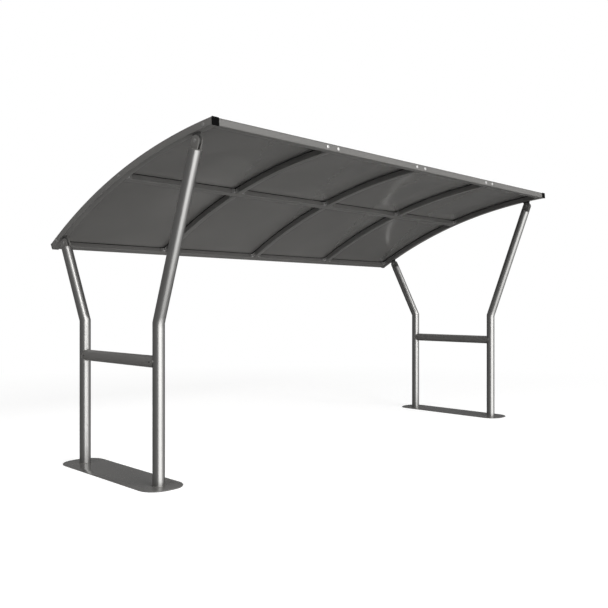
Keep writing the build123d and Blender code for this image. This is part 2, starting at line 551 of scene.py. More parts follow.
def bead(
    path: np.ndarray, radius: float, lean: np.ndarray, ripples: int, swell: float = 0.1, steps: int = 10
) -> Shell:
    """Weld bead along a closed path, with the ripples that a weld run leaves.

    The bead's radius is radius (1 + swell sin(2 pi ripples s)) at the share s of the run. Its
    round section lies in the plane across the path, measured from the direction of lean.

    Args:
        path: Closed path, without its first point repeated.
        radius: Mean radius of the bead.
        lean: A direction across the path at each point, or one for all.
        ripples: Number of ripples on the whole run.
        swell: Share of the radius by which a ripple swells.
        steps: Points in the round section.

    Returns:
        The closed shell.
    """
    travel = unit(np.roll(path, -1, axis=0) - np.roll(path, 1, axis=0))
    lean = np.broadcast_to(lean, path.shape)
    lean = unit(lean - travel * np.sum(lean * travel, axis=1, keepdims=True))
    rise = np.cross(travel, lean)
    share = np.arange(len(path)) / len(path)
    size = radius * (1 + swell * np.sin(2 * np.pi * ripples * share))[:, None, None]
    section = circle(1.0, full_turn(steps))
    around = section[:, :1] * lean[:, None] + section[:, 1:] * rise[:, None]
    return grid_shell(path[:, None] + size * around, ring=True)


# ------------------------------------------------------------------------------- finishes
GRAIN = "grain"
CLOUD_RANGE = (0.3, 0.7)
SKY_RANGE = (0.2, 0.6)


class Wiring:
    """Short ways to add, set and join the nodes of one material or world."""

    def __init__(self, owner: bpy.types.Material | bpy.types.World) -> None:
        """Starts an empty node tree.

        Args:
            owner: The material or world that the nodes belong to.
        """
        owner.use_nodes = True
        self.tree = owner.node_tree
        self.tree.nodes.clear()
        self.places: dict[tuple[Triple, bool], Node] = {}

    def node(self, kind: str, *feeds: Feed, **named: Feed) -> Node:
        """Adds a node and fills its inputs: nodes and sockets are joined, values are set.

        Args:
            kind: Kind of node, as Blender names it after "ShaderNode".
            feeds: What goes into the first inputs, in their order; a node gives its first output.
            named: What goes into other inputs, by name, with underscores for spaces.

        Returns:
            The node.
        """
        node = self.tree.nodes.new(f"ShaderNode{kind}")
        for key, feed in (*enumerate(feeds), *named.items()):
            target = node.inputs[key if isinstance(key, int) else key.replace("_", " ")]
            if isinstance(feed, Node | Socket):
                self.tree.links.new(feed.outputs[0] if isinstance(feed, Node) else feed, target)
            else:
                target.default_value = feed
        return node

    def seen(self) -> Node:
        """Tells what the camera sees, straight, mirrored or through glass, from the rest.

        Returns:
            The node that gives 1 for what is seen.
        """
        path = self.node("LightPath").outputs
        total = path["Is Camera Ray"]
        for name in ("Is Glossy Ray", "Is Transmission Ray"):
            total = self.node("Math", total, path[name])
            total.operation = "MAXIMUM"
        return total

    def place(self, stretch: Triple, grain: bool) -> Node:
        """Node that gives the coordinates of a pattern, one for all patterns that share them.

        Args:
            stretch: How much closer the pattern lies along each axis.
            grain: True to follow the piece's own grain attribute instead of the object's axes.

        Returns:
            The node.
        """
        if (stretch, grain) not in self.places:
            source = self.node("Attribute" if grain else "TexCoord")
            if grain:
                source.attribute_name = GRAIN
            socket = source.outputs["Vector" if grain else "Object"]
            self.places[stretch, grain] = self.node("Mapping", socket, Scale=stretch)
        return self.places[stretch, grain]

    def clouds(self, pattern: "Clouds") -> Node:
        """Node that gives a cloudy pattern, between 0 and 1."""
        place = self.place(pattern.stretch, pattern.grain)
        return self.node("TexNoise", Vector=place, Scale=pattern.scale, Detail=pattern.detail)

    def skyward(self, below: float, above: float) -> Node:
        """Node whose value differs between faces turned to the sky and all others.

        Args:
            below: Value on level and downward faces.
            above: Value on upward faces.

        Returns:
            The node.
        """
        facing = self.node("SeparateXYZ", self.node("TexCoord").outputs["Normal"])
        return self.node("MapRange", facing.outputs["Z"], *SKY_RANGE, below, above)


@dataclass(frozen=True)
class Clouds:
    """A cloudy pattern: patches to a metre, octaves of finer patches, and what it changes.

    The amount isn't part of the pattern itself, so equal patterns share their nodes. With grain,
    the pattern follows the piece's own grain attribute instead of the object's axes.
    """

    scale: float
    detail: float
    amount: float = field(compare=False)
    stretch: Triple = (1.0, 1.0, 1.0)
    grain: bool = False


@dataclass(frozen=True)
class Finish:
    """A surface finish, made into one material on first use.

    Its shade differs from the colour by a share, its polish from the roughness by an amount, and
    its skin is raised with a strength, up to a depth. Weathering dulls what faces the sky.
    """

    name: str
    colour: Triple
    roughness: float
    shade: Clouds
    polish: Clouds
    skin: Clouds
    skin_depth: float
    metallic: float = 0.0
    gloss: float = 0.5
    weathering: float = 0.0
    weathered_gloss: float = 0.1

    def material(self) -> bpy.types.Material:
        """The material of this finish."""
        return bpy.data.materials.get(self.name) or self.mix()

    def mix(self) -> bpy.types.Material:
        """Makes the material.

        Returns:
            The new material.
        """
        material = bpy.data.materials.new(self.name)
        wiring = Wiring(material)
        patterns = dict.fromkeys((self.shade, self.polish, self.skin))
        made = {pattern: wiring.clouds(pattern) for pattern in patterns}
        shades = wiring.node("ValToRGB", made[self.shade])
        for stop, place, sign in zip(shades.color_ramp.elements, CLOUD_RANGE, (-1, 1)):
            stop.position = place
            stop.color = (*(c * (1 + sign * self.shade.amount) for c in self.colour), 1.0)
        low, high = self.roughness - self.polish.amount, self.roughness + self.polish.amount
        polish = wiring.node("MapRange", made[self.polish], *CLOUD_RANGE, low, high)
        gloss = self.gloss
        if self.weathering:
            polish = wiring.node("Math", polish, wiring.skyward(0.0, self.weathering))
            gloss = wiring.skyward(self.gloss, self.weathered_gloss * self.gloss)
        skin = wiring.node(
            "Bump", Strength=self.skin.amount, Distance=self.skin_depth, Height=made[self.skin]
        )
        shader = wiring.node(
            "BsdfPrincipled", shades, self.metallic, polish, Specular_IOR_Level=gloss, Normal=skin
        )
        wiring.node("OutputMaterial", shader)
        return material


@dataclass(frozen=True)
class PowderCoat(Finish):
    """Baked powder paint with a fine orange-peel skin and faint clouds in its shade."""

    colour: Triple = (0.115, 0.1125, 0.108)
    roughness: float = 0.45
    gloss: float = 0.34
    shade: Clouds = Clouds(2.2, 3, 0.035)
    polish: Clouds = Clouds(14, 4, 0.03)
    skin: Clouds = Clouds(420, 2, 0.35)
    skin_depth: float = 0.00003


@dataclass(frozen=True)
class SatinSteel(Finish):
    """Stainless tube with a fine grain drawn along its length."""

    colour: Triple = (0.31, 0.307, 0.30)
    roughness: float = 0.36
    metallic: float = 1.0
    shade: Clouds = Clouds(9, 3, 0.025, (1.0, 1.0, 0.35), grain=True)
    polish: Clouds = Clouds(900, 3, 0.01, (1.0, 1.0, 0.006), grain=True)
    skin: Clouds = Clouds(900, 3, 0.1, (1.0, 1.0, 0.006), grain=True)
    skin_depth: float = 0.0000015


@dataclass(frozen=True)
class PlainMetal(Finish):
    """Bare metal of bolts and welds, a little mottled."""

    colour: Triple = (0.5, 0.495, 0.485)
    roughness: float = 0.42
    metallic: float = 1.0
    shade: Clouds = Clouds(60, 4, 0.06)
    polish: Clouds = Clouds(720, 3, 0.06)
    skin: Clouds = Clouds(720, 3, 0.3)
    skin_depth: float = 0.00002


@dataclass(frozen=True)
class MouldedPlastic(Finish):
    """Black moulded plastic with a fine spark-eroded grain."""

    colour: Triple = (0.0022, 0.0022, 0.0023)
    roughness: float = 0.7
    gloss: float = 0.02
    shade: Clouds = Clouds(30, 2, 0.15)
    polish: Clouds = Clouds(1600, 2, 0.05)
    skin: Clouds = Clouds(1600, 2, 0.4)
    skin_depth: float = 0.00004


FRAME_PAINT = PowderCoat("frame_powder_coat")
ROOF_PAINT = PowderCoat("roof_sheet_coat", roughness=0.2, gloss=0.9, skin_depth=0.000002, weathering=0.35)
BAR_PAINT = PowderCoat("crossbar_powder_coat")
PLATE_PAINT = PowderCoat("base_plate_coat", roughness=0.2, gloss=0.5, skin_depth=0.000004)
FORK_PAINT = PowderCoat("fork_powder_coat", gloss=0.08)
# The lug's colour is darker than the fork and frame paint: painted shade for its recess between the
# cheeks and under the rib.
LUG_SHADE_PAINT = PowderCoat("lug_painted_shade_coat", colour=(0.05, 0.0495, 0.0485), roughness=0.5, gloss=0.1)
CLAMP_COAT = PowderCoat("clamp_bolt_coat", colour=(0.16, 0.158, 0.154), roughness=0.4, gloss=0.35)
ZINC = PowderCoat("zinc_flake_coat", colour=(0.36, 0.356, 0.348), roughness=0.4, gloss=0.5)
POST_STEEL = SatinSteel("post_satin_steel")
BOLT_STEEL = PlainMetal("bolt_bright_steel")
WELD_METAL = PlainMetal("weld_metal", colour=(0.24, 0.235, 0.225), shade=Clouds(60, 4, 0.2))
CAP_PLASTIC = MouldedPlastic("end_cap_plastic")
BLACK_OXIDE = MouldedPlastic("black_oxide", colour=(0.012, 0.012, 0.0122), roughness=0.5, gloss=0.2)
# Black strips in the inner corners under the sheet: painted shade for the groove's dark line.
GROOVE_SHADE_BLACK = MouldedPlastic("groove_shade_black", colour=(0.003, 0.003, 0.003), roughness=0.8)


# ------------------------------------------------------------------------------- small parts
@dataclass(frozen=True)
class ButtonHead:
    """Low domed screw head with a hexagon socket, standing on its own XY plane."""

    radius: float
    height: float
    socket_flats: float
    washer: float = 0.0
    steps: int = 36
    dome_steps: int = 6
    washer_height: float = 0.0012
    washer_top: float = 0.96
    mouth_share: float = 0.62
    rim_share: float = 0.12
    socket_levels: tuple[float, float, float] = (1.0, 0.98, 0.35)

    def shell(self) -> Shell:
        """Turns the head: a quarter ellipse from the rim to the socket's mouth, then the socket.

        Returns:
            The head, with its washer where it has one.
        """
        turn = np.linspace(0, QUARTER, self.dome_steps, endpoint=False)
        mouth, rim = self.socket_flats * self.mouth_share, self.rim_share * self.height
        base = self.washer_height if self.washer else 0.0
        dome = mouth + (self.radius - mouth) * np.cos(turn)
        rounds = np.concatenate(([self.radius], dome, [mouth]))
        hexagon = hexagon_radius(self.socket_flats, self.steps)
        rows = np.vstack((np.repeat(rounds[:, None], self.steps, axis=1), hexagon, hexagon))
        rise = rim + (self.height - rim) * np.sin(turn)
        heights = np.concatenate(([0.0], rise, self.height * np.array(self.socket_levels)))
        parts = [turned(rows, heights + base)]
        if self.washer:
            parts.append(washer_shell(self.washer, base, self.washer_top, self.steps))
        return Shell.joined(parts)


@dataclass(frozen=True)
class HexNut:
    """Chamfered hexagon nut with its washer and the threaded end of the bolt."""

    flats: float
    height: float
    washer: float
    bolt: float
    pitch: float
    end: float
    steps: int = 48
    washer_height: float = 0.0016
    washer_top: float = 0.95
    chamfer_share: float = 0.47
    chamfer_slope: float = 1.9
    thread_depth: float = 0.35
    thread_clearance: float = 0.0006
    tip_taper: float = 0.0012
    overlap: float = 0.0002
    levels: tuple[float, ...] = (0, 0.06, 0.14, 0.5, 0.86, 0.94, 1.0)
    thread_rings: int = 30

    def shell(self) -> Shell:
        """Cuts a hexagonal prism by a cone at each face, and adds washer and thread.

        The radius at each height is the lesser of the hexagon's and the chamfer cone's. The
        thread's radius falls by a triangle wave of height / pitch - turn, and is held under a
        tip that narrows with the fourth power of the height.

        Returns:
            The nut, washer and threaded end.
        """
        base = self.washer_height
        levels = np.array(self.levels) * self.height
        edge = np.minimum(levels, self.height - levels)
        cone = self.flats * self.chamfer_share + edge * self.chamfer_slope
        body = np.minimum(hexagon_radius(self.flats, self.steps)[None, :], cone[:, None])
        rise = np.linspace(0, self.end, self.thread_rings)
        share = np.linspace(0, 1, self.steps, endpoint=False)
        wave = (rise[:, None] / self.pitch - share[None, :]) % 1.0
        radii = self.bolt - self.thread_depth * self.pitch * np.abs(2 * wave - 1)
        tip = self.bolt + self.thread_clearance - self.tip_taper * (rise / rise[-1]) ** 4
        thread = turned(np.minimum(radii, tip[:, None]), rise + base + self.height - self.overlap)
        washer = washer_shell(self.washer, base, self.washer_top, self.steps)
        return Shell.joined([turned(body, levels + base), washer, thread])


def washer_shell(radius: float, height: float, top: float, steps: int, side: float = 0.8) -> Shell:
    """Washer on its own XY plane, straight for a share of its side, then drawn in to its top."""
    return turned([radius, radius, radius * top], [0, height * side, height], steps)


CLEAT_SCREW = ButtonHead(radius=0.0075, height=0.0036, socket_flats=0.004, steps=24)
FRAME_BOLT = ButtonHead(radius=0.0125, height=0.0047, socket_flats=0.006)
SHEET_SCREW = ButtonHead(radius=0.006, height=0.0022, socket_flats=0.003, steps=18)
BAR_SCREW = ButtonHead(radius=0.0055, height=0.0026, socket_flats=0.003, steps=24)
CLAMP_HEAD = ButtonHead(radius=0.0125, height=0.0038, socket_flats=0.008, washer=0.0128)
CLAMP_NUT = HexNut(flats=0.019, height=0.0098, washer=0.0125, bolt=0.006, pitch=0.00175, end=0.0096)


# ------------------------------------------------------------------------------- sub-assemblies
@dataclass
class Assembly:
    """A sub-assembly of the shelter and the pieces that it has made."""

    sizes: Sizes
    pieces: list[bpy.types.Object] = field(default_factory=list, init=False)

    def keep(
        self, name: str, finish: Finish, slot: Slot, shells: list[Shell], part: str = ""
    ) -> bpy.types.Object:
        """Makes a piece and adds it to the sub-assembly.

        Args:
            name: Name of the piece, or of the CAD node that it stands for.
            finish: What it is finished with.
            slot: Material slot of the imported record.
            shells: Its surfaces.
            part: What is added to the name where the piece stands for a CAD node.

        Returns:
            The piece.
        """
        piece = Shell.joined(shells).piece(f"{name}_{part}" if part else name, finish, slot)
        if part:
            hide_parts(name)
        self.pieces.append(piece)
        return piece


@dataclass
class Roof(Assembly):
    """The roof: end ribs, ribs between, rails, purlin, cleats, caps and curved sheets."""

    arc_steps: int = 72
    full_arc: float = 25.0
    fewest_arc_steps: int = 8
    rail_rings: int = 9
    fillet_points: int = 5
    cleat_leg: float = 0.040
    cleat_wall: float = 0.004
    cleat_height: float = 0.036
    cleat_toe: float = 0.0008
    cleat_fillet: float = 0.003
    cleat_screw_share: float = 0.36
    cleat_screw_rise: float = 0.0085
    # Sizes of the black strips in the inner corners, which are painted shade for the groove's dark line.
    rib_groove_shade: float = 0.0044
    rail_groove_shade: float = 0.0016
    groove_shade_gap: float = 0.0002
    groove_shade_foot: float = 0.1
    groove_shade_hollow: float = 0.36
    rib_groove_shade_rings: int = 37
    rail_groove_shade_rings: int = 5
    cap_corner: float = 0.004
    cap_ease: float = 0.0009
    front_bolt_angle: float = 5.29
    rear_bolt_angle: float = 28.71
    end_bolt_drop: float = 0.026
    purlin_bolt_drop: float = 0.023
    rail_bolt_shift: float = 0.053
    sheet_gap: float = 0.001
    sheet_corner: float = 0.0006
    sheet_corner_steps: int = 3
    sheet_screw_shift: float = 0.012
    sheet_screw_margin: float = 0.9
    sheet_screws_in_row: int = 9

    def arc_tube(self, x: float, start: float, stop: float) -> Shell:
        """Square tube that follows the roof arc.

        Args:
            x: Place along the shelter.
            start: First arc angle.
            stop: Last arc angle.

        Returns:
            The tube: the section carried along the arc of its centre line.
        """
        s = self.sizes
        steps = int(self.arc_steps * (stop - start) / self.full_arc)
        angle = np.linspace(start, stop, max(self.fewest_arc_steps, steps))
        outline = rounded_outline(s.section_height, s.section_width, s.corner)
        return carried(outline, s.arc_point(s.rib_mid, angle, x), s.outward(angle), X_AXIS)

    def rail(self, angle: float) -> Shell:
        """Straight square tube along the shelter.

        Args:
            angle: Its arc angle.

        Returns:
            The tube.
        """
        s = self.sizes
        half = s.half_length - s.section_width / 2 - s.butt_gap
        path = np.linspace(-half, half, self.rail_rings)[:, None] * X_AXIS + s.arc_point(s.rib_mid, angle)
        outline = rounded_outline(s.section_width, s.section_height, s.corner)
        return carried(outline, path, s.along(angle), s.outward(angle))

    def cleat(self, x: float, angle: float, x_side: int, y_side: int) -> tuple[Shell, list[Shell]]:
        """Angle bracket in the corner between a rib's side and a rail's side.

        Args:
            x: Side face of the rib.
            angle: Arc angle of the rail's face.
            x_side: Sign of X in which the corner opens.
            y_side: Sign along the arc in which the corner opens.

        Returns:
            The bracket, an L carried outward along the radius, and its four screw heads.
        """
        s, leg, wall, toe = self.sizes, self.cleat_leg, self.cleat_wall, self.cleat_toe
        turn = np.linspace(-QUARTER, -np.pi, self.fillet_points)
        inner = wall + self.cleat_fillet + circle(self.cleat_fillet, turn)
        first = ((0, 0), (leg - toe, 0), (leg, toe), (leg, wall - toe), (leg - toe, wall))
        second = ((wall, leg - toe), (wall - toe, leg), (toe, leg), (0, leg - toe))
        outline = np.concatenate((first, inner, second)) * (x_side, y_side)
        if x_side * y_side < 0:
            outline = outline[::-1]
        origin = s.arc_point(s.rib_mid, angle, x)[0]
        up, along = s.outward(angle)[0], s.along(angle)[0]
        path = origin + np.outer((-self.cleat_height / 2, self.cleat_height / 2), up)
        head = CLEAT_SCREW.shell()
        heads = []
        for out, side in ((x_side * X_AXIS, y_side * along), (y_side * along, x_side * X_AXIS)):
            for rise in (-self.cleat_screw_rise, self.cleat_screw_rise):
                spot = origin + out * wall + side * leg * self.cleat_screw_share + up * rise
                heads.append(head.facing(spot, out))
        return carried(outline, path, X_AXIS, along), heads

    def make_ribs(self) -> None:
        """Makes the end ribs and the ribs between the rails."""
        s = self.sizes
        for side in Side:
            tube = self.arc_tube(side.value * s.half_length, s.front_angle, s.rear_angle)
            self.keep(f"{side.label}_end_rib", FRAME_PAINT, Slot.FRAME, [tube], "tube")
        for label, start, stop in s.rib_spans:
            for number, x in enumerate(s.rib_lines[1:-1], start=1):
                tube = self.arc_tube(x, start + s.reach(), stop - s.reach())
                self.keep(f"{label}_rib_{number}", FRAME_PAINT, Slot.FRAME, [tube], "tube")

    def make_rails(self) -> None:
        """Makes the front rail, the purlin and the rear rail."""
        for name, angle in self.sizes.rail_angles.items():
            self.keep(name, FRAME_PAINT, Slot.FRAME, [self.rail(angle)], "tube")

    def make_cleats(self) -> None:
        """Makes the cleats in every corner and the screws through them."""
        s = self.sizes
        brackets, heads = [], []
        for face, x_side in s.rib_faces:
            for angle, y_side in s.rail_faces:
                bracket, screws = self.cleat(face, angle + y_side * s.reach(), x_side, y_side)
                brackets.append(bracket)
                heads.extend(screws)
        self.keep("rib_cleats", CLAMP_COAT, Slot.FRAME, brackets)
        self.keep("cleat_screws", ZINC, Slot.BOLT, heads)

    def groove_shade_profile(self, side: float, leg: float) -> np.ndarray:
        """Section of the black strip in the groove between a tube's upper corner and the sheet, shaped
        like a seal: it is painted shade for the groove's dark line.

        The origin is where the tube's side plane meets the sheet. The inner side follows the
        tube's corner, an arc of radius r about (-r, -r), and the outer side is hollow.

        Args:
            side: 1 where the tube's side faces the profile's own x, -1 where it faces away.
            leg: How far the seal reaches along the sheet and down the tube.

        Returns:
            Anticlockwise (x, y) points, with y toward the sheet.
        """
        r = self.sizes.corner
        corner = circle(r, np.linspace(QUARTER, 0, self.fillet_points)) - r
        hollow = self.groove_shade_hollow * leg
        outline = np.vstack(((leg, 0.0), corner, (0.0, -r - leg * self.groove_shade_foot), (hollow, -hollow)))
        return outline if side > 0 else (outline * (-1, 1))[::-1]

    def make_groove_shade_strips(self) -> None:
        """Makes black strips along the inner upper corners of ribs and rails, shaped like seals: painted
        shade for the dark line where the sheet meets them.
        """
        s = self.sizes
        reach = s.reach(self.groove_shade_gap)
        shells, profiles = [], {side: self.groove_shade_profile(side, self.rib_groove_shade) for side in (-1, 1)}
        for face, side in s.rib_faces:
            for _, start, stop in s.rib_spans:
                angle = np.linspace(start + reach, stop - reach, self.rib_groove_shade_rings)[::-1]
                path = s.arc_point(s.rib_top, angle, face)
                shells.append(carried(profiles[side], path, X_AXIS, s.outward(angle)))
        inner = s.section_width / 2 + self.rib_groove_shade + self.groove_shade_gap
        for angle, side in s.rail_faces:
            corner = s.arc_point(s.rib_top, angle)[0] + s.along(angle)[0] * side * s.section_width / 2
            for left, right in zip(s.rib_lines[:-1], s.rib_lines[1:]):
                x = np.linspace(left + inner, right - inner, self.rail_groove_shade_rings)
                path = corner + x[:, None] * X_AXIS
                profile = self.groove_shade_profile(side, self.rail_groove_shade)
                shells.append(carried(profile, path, s.along(angle), s.outward(angle)))
        self.keep("roof_groove_shade_strips", GROOVE_SHADE_BLACK, Slot.CAP, shells)

    def make_caps(self) -> None:
        """Makes the plugs in the ends of the end ribs, with eased edges."""
        s = self.sizes
        lower, upper = s.cap_radii
        outline = rounded_outline(s.section_width + 2 * s.end_cap_lip, upper - lower, self.cap_corner)
        slab = eased_slab(outline, s.end_cap, self.cap_ease)
        for side in Side:
            for row, angle in s.end_angles:
                out, up = s.along(angle)[0] * row.value, s.outward(angle)[0]
                origin = s.arc_point((lower + upper) / 2, angle, side.value * s.half_length)[0]
                cap = slab.placed(origin + out * s.butt_gap, np.cross(up, out), up, out)
                self.keep(f"{side.label}_{row.label}_cap", CAP_PLASTIC, Slot.CAP, [cap], "plug")

    def make_frame_bolts(self) -> None:
        """Makes the bolt heads on the end ribs' outer faces and on the rails' outer faces."""
        s = self.sizes
        head = FRAME_BOLT.shell()
        places = (
            (self.front_bolt_angle, self.end_bolt_drop),
            (s.rail_angles["purlin"], self.purlin_bolt_drop),
            (self.rear_bolt_angle, self.end_bolt_drop),
        )
        painted, bright = [], []
        for side in Side:
            face = side.value * (s.half_length + s.section_width / 2)
            for angle, drop in places:
                spot = s.arc_point(s.roof_radius - drop, angle, face)[0]
                painted.append(head.facing(spot, side.value * X_AXIS))
        for row, angle in s.end_angles:
            for x in s.rib_lines[1:-1]:
                for shift in (-self.rail_bolt_shift, self.rail_bolt_shift):
                    spot = s.arc_point(s.rib_mid, angle, x + shift)[0]
                    bright.append(head.facing(spot, s.along(angle)[0] * row.value))
        self.keep("rib_bolt_heads", CLAMP_COAT, Slot.FRAME, painted)
        self.keep("rail_bolt_heads", BOLT_STEEL, Slot.BOLT, bright)

    def make_sheets(self) -> None:
        """Makes the curved sheets and the screws that hold them along the ribs."""
        s = self.sizes
        angle = np.linspace(s.front_angle, s.rear_angle, self.arc_steps + 1)
        lefts, rights = s.rib_lines[:-1] + self.sheet_gap, s.rib_lines[1:] - self.sheet_gap
        lefts[0] = s.rib_lines[0] - s.section_width / 2
        rights[-1] = s.rib_lines[-1] + s.section_width / 2
        for number, (left, right) in enumerate(zip(lefts, rights), start=1):
            path = s.arc_point(s.roof_radius - s.skin / 2, angle, (left + right) / 2)
            outline = rounded_outline(s.skin, right - left, self.sheet_corner, self.sheet_corner_steps)
            sheet = carried(outline, path, s.outward(angle), X_AXIS)
            self.keep(f"roof_panel_{number}", ROOF_PAINT, Slot.ROOF, [sheet], "sheet")
        head = SHEET_SCREW.shell()
        first, last = s.front_angle + self.sheet_screw_margin, s.rear_angle - self.sheet_screw_margin
        screws = []
        for number, x in enumerate(s.rib_lines):
            shift = self.sheet_screw_shift
            for row in (0.0,) if number in (0, s.bay_count) else (-shift, shift):
                for a in np.linspace(first, last, self.sheet_screws_in_row):
                    spot = s.arc_point(s.roof_radius, a, x + row)[0]
                    screws.append(head.facing(spot, s.outward(a)[0]))
        self.keep("sheet_screws", ZINC, Slot.BOLT, screws)

    def build(self) -> list[bpy.types.Object]:
        """Makes the whole roof.

        Returns:
            Its pieces.
        """
        self.make_ribs()
        self.make_rails()
        self.make_cleats()
        self.make_groove_shade_strips()
        self.make_caps()
        self.make_frame_bolts()
        self.make_sheets()
        return self.pieces


@dataclass
class EndFrame(Assembly):
    """One end frame: base plate, two mitred posts, crossbar, forks, lugs and clamp bolts."""

    side: Side
    plate_width: float = 0.312
    plate_overhang: float = 0.140
    plate_corner: float = 0.130
    plate_corner_steps: int = 24
    plate_ease: float = 0.0012
    hole_radius: float = 0.007
    hole_rim: float = 0.0008
    hole_spacing: float = 0.200
    hole_steps: int = 40
    drill_below: float = 0.01
    drill_above: float = 0.002
    post_steps: int = 96
    post_margin: float = 0.045
    post_rings: int = 8
    weld_steps: int = 120
    weld_rise: float = 0.0012
    foot_weld: float = 0.0028
    foot_ripples: int = 46
    bar_radius: float = 0.040
    bar_centre: float = 0.806
    bar_rings: int = 12
    bar_weld: float = 0.0022
    bar_ripples: int = 60
    bar_screw_inset: float = 0.052
    bar_screw_sink: float = 0.0005
    cheek: float = 0.010
    cheek_ease: float = 0.0012
    cap_ease: float = 0.0008
    fork_gap: float = 0.014
    tongue: float = 0.072
    lug_thickness: float = 0.010
    lug_eye: float = 0.064
    lug_neck: float = 0.06
    lug_foot: float = 0.010
    lug_ease: float = 0.0007
    foot_length: float = 0.070
    seat_gap: float = 0.0003

    @property
    def x(self) -> float:
        """X of the frame's posts."""
        return self.side.value * self.sizes.half_length

    def bolt_point(self, row: Row) -> np.ndarray:
        """Centre of the clamp bolt of a row."""
        s = self.sizes
        return s.arc_point(s.rib_under - s.bolt_drop, s.lug_angle(row), self.x)[0]

    def post_points(self, row: Row) -> tuple[np.ndarray, float]:
        """Axis of a post.

        Args:
            row: Front or rear.

        Returns:
            The foot, bend and head of the axis, and the lean of its upper part in radians.
        """
        s = self.sizes
        y = s.front_post_y if row is Row.FRONT else s.rear_post_y
        bolt, bend = self.bolt_point(row), np.array((self.x, y, s.bend_height))
        run = bolt - bend
        head = bolt - unit(run) * (s.fork_rise + s.fork_cap)
        return np.stack(((self.x, y, s.plate_thickness), bend, head)), math.atan2(run[1], run[2])

    def make_post(self, row: Row) -> None:
        """Makes a post: a round section whose ring at the bend lies in the mitre plane.

        There the ring's second axis turns by half the lean and grows by 1 / cos(lean / 2), so
        both straight runs stay round. The grain attribute is the place in the section and the
        distance along the axis.

        Args:
            row: Front or rear.
        """
        (foot, bend, head), lean = self.post_points(row)
        inner = np.linspace(self.post_margin, 1 - self.post_margin, self.post_rings)
        share = np.concatenate(((0.0,), inner, (1.0,)))[:, None]
        path = np.concatenate((foot + (bend - foot) * share[:-1], bend + (head - bend) * share))
        leans = np.repeat((0.0, lean / 2, lean), (len(share) - 1, 1, len(share) - 1))[:, None]
        up = np.cos(leans) * Y_AXIS - np.sin(leans) * Z_AXIS
        up[len(share) - 1] /= math.cos(lean / 2)
        section = circle(self.sizes.post_radius, full_turn(self.post_steps))
        name = f"{self.side.label}_{row.label}_post"
        tube = carried(section, path, X_AXIS, up)
        piece = self.keep(name, POST_STEEL, Slot.STAINLESS, [tube], "tube")
        reach = np.concatenate(([0], np.cumsum(np.linalg.norm(np.diff(path, axis=0), axis=1))))
        grain = np.column_stack((np.tile(section, (len(path), 1)), np.repeat(reach, len(section))))
        attribute = piece.data.attributes.new(GRAIN, "FLOAT_VECTOR", "POINT")
        attribute.data.foreach_set("vector", grain.astype(np.float32).ravel())
        ring = np.tile(foot + (0, 0, self.weld_rise), (self.weld_steps, 1))
        ring[:, :2] += circle(self.sizes.post_radius + self.weld_rise, full_turn(self.weld_steps))
        weld = bead(ring, self.foot_weld, Z_AXIS, self.foot_ripples)
        self.keep(f"{name}_weld", WELD_METAL, Slot.STAINLESS, [weld])

    def make_plate(self) -> None:
        """Makes the base plate with eased rims and its six anchor holes cut through."""
        s = self.sizes
        length = s.post_spacing + 2 * self.plate_overhang
        outline = rounded_outline(self.plate_width, length, self.plate_corner, self.plate_corner_steps)
        origin = np.array((self.x, s.plate_y, 0.0))
        slab = eased_slab(outline, s.plate_thickness, self.plate_ease).facing(origin, Z_AXIS)
        name = f"{self.side.label}_base_plate"
        piece = self.keep(name, PLATE_PAINT, Slot.PLATE, [slab], "slab")
        rim = self.hole_radius + np.array((0.0, 0.0, self.hole_rim, self.hole_rim + self.drill_above))
        rises = s.plate_thickness + np.array((-self.hole_rim, 0.0, self.drill_above))
        drill = turned(rim, (-self.drill_below, *rises), self.hole_steps)
        holes = [
            origin + (x, y, 0)
            for x in (-self.hole_spacing / 2, self.hole_spacing / 2)
            for y in (-s.post_spacing / 2, 0.0, s.post_spacing / 2)
        ]
        self.pierce(piece, Shell.joined([drill.facing(hole, Z_AXIS) for hole in holes]))

    def pierce(self, piece: bpy.types.Object, drills: Shell) -> None:
        """Cuts shells out of a piece and keeps the result as its mesh.

        Args:
            piece: The piece to cut.
            drills: What is taken away.
        """
        cutter = drills.piece(f"{piece.name}_drills", PLATE_PAINT, Slot.PLATE)
        cut = piece.modifiers.new("holes", "BOOLEAN")
        cut.operation, cut.solver, cut.object = "DIFFERENCE", "EXACT", cutter
        bpy.context.view_layer.update()
        made = bpy.data.meshes.new_from_object(piece.evaluated_get(bpy.context.evaluated_depsgraph_get()))
        piece.modifiers.clear()
        piece.data = made
        made.set_sharp_from_angle(angle=SHARP_EDGE)
        bpy.data.objects.remove(cutter)

    def make_crossbar(self) -> None:
        """Makes the crossbar, its coped ends' welds and its small fixing screws.

        Each end follows the post: y stands sqrt(R R - x x) from the post's axis, where R is the
        post's radius and x the distance from the frame's middle plane.
        """
        s = self.sizes
        rise, side = circle(self.bar_radius, full_turn(self.weld_steps)).T
        x, z = self.x + side, self.bar_centre + rise
        reach = np.sqrt((s.post_radius + s.butt_gap) ** 2 - side**2)
        front = np.stack((x, s.front_post_y + reach, z), 1)
        rear = np.stack((x, s.rear_post_y - reach, z), 1)
        bar = grid_shell(front + (rear - front) * np.linspace(0, 1, self.bar_rings)[:, None, None])
        name = f"{self.side.label}_crossbar"
        self.keep(name, BAR_PAINT, Slot.BAR, [bar], "tube")
        lean = np.stack((x - self.x, np.zeros_like(x), z - self.bar_centre), 1)
        beads = [bead(ring, self.bar_weld, lean, self.bar_ripples) for ring in (front, rear)]
        self.keep(f"{name}_welds", WELD_METAL, Slot.STAINLESS, beads)
        head = BAR_SCREW.shell()
        screws = []
        for y in (s.front_post_y + self.bar_screw_inset, s.rear_post_y - self.bar_screw_inset):
            for out in (-X_AXIS, X_AXIS):
                middle = np.array((self.x, y, self.bar_centre))
                screws.append(head.facing(middle + out * (self.bar_radius - self.bar_screw_sink), out))
        self.keep(f"{name}_screws", BLACK_OXIDE, Slot.BOLT, screws)

